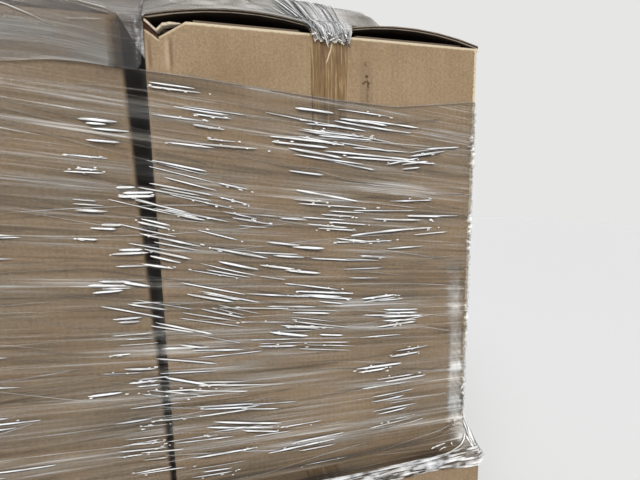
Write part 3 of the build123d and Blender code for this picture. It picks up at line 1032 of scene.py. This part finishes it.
def drape_front_edge(u):
    """Where the film over the top ends at the front: it hangs on the left, stops at the flap, catches on
    the tape, and then runs back at a slant."""
    across = u - carton_low.x
    lip = drape_height(np.clip(u, left_top_x, right_top_x), np.full_like(u, front))
    hanging = front - lip - 0.056 - 0.003 * np.sin(u * 40)
    ragged = 0.0018 * np.sin(u * 700) + 0.0012 * np.sin(u * 1730 + 1)
    on_tape = front - lip - 0.009 + ragged
    edge = hanging + (front - 0.003 - hanging) * smooth_step(across, -0.005, 0.003)
    on_the_tape = smooth_step(across, 0.197, 0.205) * (1 - smooth_step(across, 0.252, 0.258))
    edge = edge + (on_tape - edge) * on_the_tape
    return np.where(across > 0.256, np.maximum(edge, front + drape_slant(across)), edge)


def top_film():
    """The loose sheet over the load."""
    sheet = FilmSheet(place_top, 23)
    rng = sheet.rng
    plain = np.linspace(left_top_x - 0.045, right_top_x + 0.03, 200)
    caught = np.linspace(tape_middle - 0.04, tape_middle + 0.04, 60)
    columns = np.unique(np.concatenate([plain, caught]))
    near = drape_front_edge(columns)
    far = back + 0.04 + 0.006 * np.sin(columns * 17)
    v = near + (far - near) * np.linspace(1, 0, 190)[:, None] ** 1.9
    u = np.broadcast_to(columns, v.shape)
    count = 420
    spots_u, spots_v = rng.uniform(left_top_x, right_top_x, count), rng.uniform(front, back, count)
    longs, wides = rng.uniform(0.03, 0.16, count), rng.uniform(0.004, 0.011, count)
    talls, angles = rng.uniform(0.0006, 0.0022, count), rng.normal(0, 0.5, count)
    height = bumps(u, v, np.stack([spots_u, spots_v], axis=1), longs, wides, talls, angles)
    edge = np.exp(-((v - near) / 0.003) ** 2)
    at_tape = np.exp(-((u - tape_middle) / 0.035) ** 2 - ((v - front) / 0.03) ** 2)
    # A painted highlight on the ridges and along the front edge, and whiter, denser film gathered at the
    # tape.
    light_and_shade = 0.045 + np.clip(height / 0.012, 0, 0.24) + 0.12 * edge + 0.5 * at_tape
    across = carton_low.x - u
    in_gap = smooth_step(across, -0.002, 0.001) * smooth_step(across, 0.036, 0.030)
    in_gap = in_gap * smooth_step(front - v, 0.004, 0.02)
    # Painted shade on the film hanging over the gap beside the carton in front.
    gap_shade = -0.52 - 0.3 * np.exp(-((across - 0.008) / 0.002) ** 2) + 0.1 * np.sin(u * 1500)
    sheet.grid(u, v, 0.0006 + height, light_and_shade + (gap_shade - light_and_shade) * in_gap, 3.0 - 2.4 * in_gap)
    return sheet.mesh("top_stretch_film")


def top_folds():
    """Folds of the loose sheet: scattered creases, and the strands drawn together at the tape."""
    sheet = FilmSheet(place_top, 24)
    rng = sheet.rng
    for _ in range(420):
        centre = rng.uniform(left_top_x + 0.04, right_top_x - 0.04)
        at = rng.uniform(front - 0.045, back - 0.03)
        line, level = line_of(centre, at, rng.uniform(0.03, 0.2), rng.normal(0, 0.3), rng.normal(0, 0.6))
        if np.all(level > drape_front_edge(line) + 0.004):
            bright = rng.choice([-0.3, 0.25, 0.5, 0.85]) * rng.uniform(0.6, 1.1)
            sheet.fold(line, level, rng.uniform(0.0004, 0.0010), bright, 0.25)
    for spot in np.linspace(-1, 1, 58):
        part = np.linspace(0, 1, 16)
        start = tape_middle + spot * tape_half
        line = start + (spot * 0.03 - 0.06 + rng.normal(0, 0.012)) * part ** 1.5
        low_end = drape_front_edge(np.array([start]))[0] + rng.uniform(0, 0.004)
        level = low_end + (0.07 + rng.uniform(-0.03, 0.04)) * part
        bright = rng.choice([-0.45, -0.3, 0.4, 0.55, 0.8]) * rng.uniform(0.7, 1.1)
        sheet.fold(line, level, rng.uniform(0.0003, 0.0006), bright, 0.4, 0.001, 0.002)
    for _ in range(28):
        start = tape_middle + rng.uniform(-1, 1) * tape_half
        low_end = drape_front_edge(np.array([start]))[0]
        at, length = low_end + rng.uniform(-0.001, 0.010), rng.uniform(0.003, 0.009)
        line, level = line_of(start, at, length, rng.normal(0, 1.4))
        half_width, bright = rng.uniform(0.0004, 0.0008), rng.choice([-0.8, 0.5, 0.95])
        sheet.fold(line, level, half_width, bright, 0.5, 0.0012, 0.002)
    # A painted highlight along the front lip of the sheet.
    for start, end, back_by in [(0.030, 0.150, 0.012), (0.062, 0.128, 0.017), (-0.05, 0.02, 0.014)]:
        line = carton_low.x + np.linspace(start, end, 14)
        sheet.fold(line, np.full(14, front + back_by), 0.0026, 0.34, 0.1, 0.0008, 0.002)
    return sheet.mesh("top_film_folds")


upper_wrap, upper_marks, roll = upper_stretch_film(), upper_folds(), gathered_roll()
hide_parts("upper_film")
lower_wrap, lower_marks = lower_stretch_film(), lower_folds()
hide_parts("lower_film")
top_sheet, top_marks = top_film(), top_folds()
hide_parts("top_film")


# Studio: pale floor, soft lamps and the camera

bpy.ops.object.select_all(action="DESELECT")
bpy.ops.mesh.primitive_plane_add(size=24, location=(0, 0, -0.0005))
floor = bpy.context.object
floor.name = "floor"
floor_paint = Finish("floor")
floor_paint.give("Base Color", srgb(236, 236, 235))
floor_paint.give("Roughness", 0.85)
floor.data.materials.append(floor_paint.material)


def light(name, kind, energy, towards, **settings):
    """A light that shines on the load, where towards points from the load to the light."""
    data = bpy.data.lights.new(name, kind)
    data.energy = energy
    for key, value in settings.items():
        setattr(data, key, value)
    obj = bpy.data.objects.new(name, data)
    bpy.context.scene.collection.objects.link(obj)
    obj.rotation_mode = "QUATERNION"
    obj.rotation_quaternion = Vector(towards).to_track_quat("Z", "Y")
    return obj


light("key_sun", "SUN", 1.35, (-0.45, -0.75, 0.7), angle=math.radians(30))
light("fill_sun", "SUN", 0.59, (0.8, -0.5, 0.6), angle=math.radians(60))
light("back_sun", "SUN", 0.62, (-0.3, 0.8, 0.6), angle=math.radians(60))
strip = light("strip_lamp", "AREA", 14, (0, -2.0, 1.9), shape="RECTANGLE", size=2.6, size_y=0.1)
strip.location = (0.1, -2.6, 3.0)

# The world lights the load evenly, and the camera, mirrors and glass see it in the floor's own colour
world = bpy.data.worlds.new("studio")
bpy.context.scene.world = world
world.use_nodes = True
sky = world.node_tree
rays = add_node(sky, "ShaderNodeLightPath").outputs
seen = rays["Is Camera Ray"]
for kind in ("Is Transmission Ray", "Is Glossy Ray"):
    seen = add_node(sky, "ShaderNodeMath", {0: seen, 1: rays[kind]}, operation="MAXIMUM").outputs[0]
shades = {0: seen, 6: (0.43, 0.435, 0.44, 1), 7: srgb(230, 230, 229)}
seen_colour = add_node(sky, "ShaderNodeMix", shades, data_type="RGBA").outputs[2]
feed(sky, sky.nodes["Background"].inputs[0], seen_colour)

# Camera: the photograph's pose, solved from the carton's front face
FOCAL_PIXELS = 359
PHOTO_WIDTH = 640
SENSOR = 36
camera_data = bpy.data.cameras.new("camera")
camera_data.sensor_width = SENSOR
camera_data.lens = FOCAL_PIXELS / PHOTO_WIDTH * SENSOR
camera_data.clip_start = 0.02
camera = bpy.data.objects.new("camera", camera_data)
bpy.context.scene.collection.objects.link(camera)
right_axis = Vector((0.969, -0.245, -0.015)).normalized()
back_axis = Vector((-0.241, -0.961, 0.133)).normalized()
up_axis = back_axis.cross(right_axis).normalized()
right_axis = up_axis.cross(back_axis)
turned = Matrix((right_axis, up_axis, back_axis)).transposed().to_4x4()
eye = (carton_low.x + 0.088, front - 0.481, tier2_top - 0.2025)
camera.matrix_world = Matrix.Translation(eye) @ turned
bpy.context.scene.camera = camera

bpy.context.scene.view_settings.view_transform = "Standard"
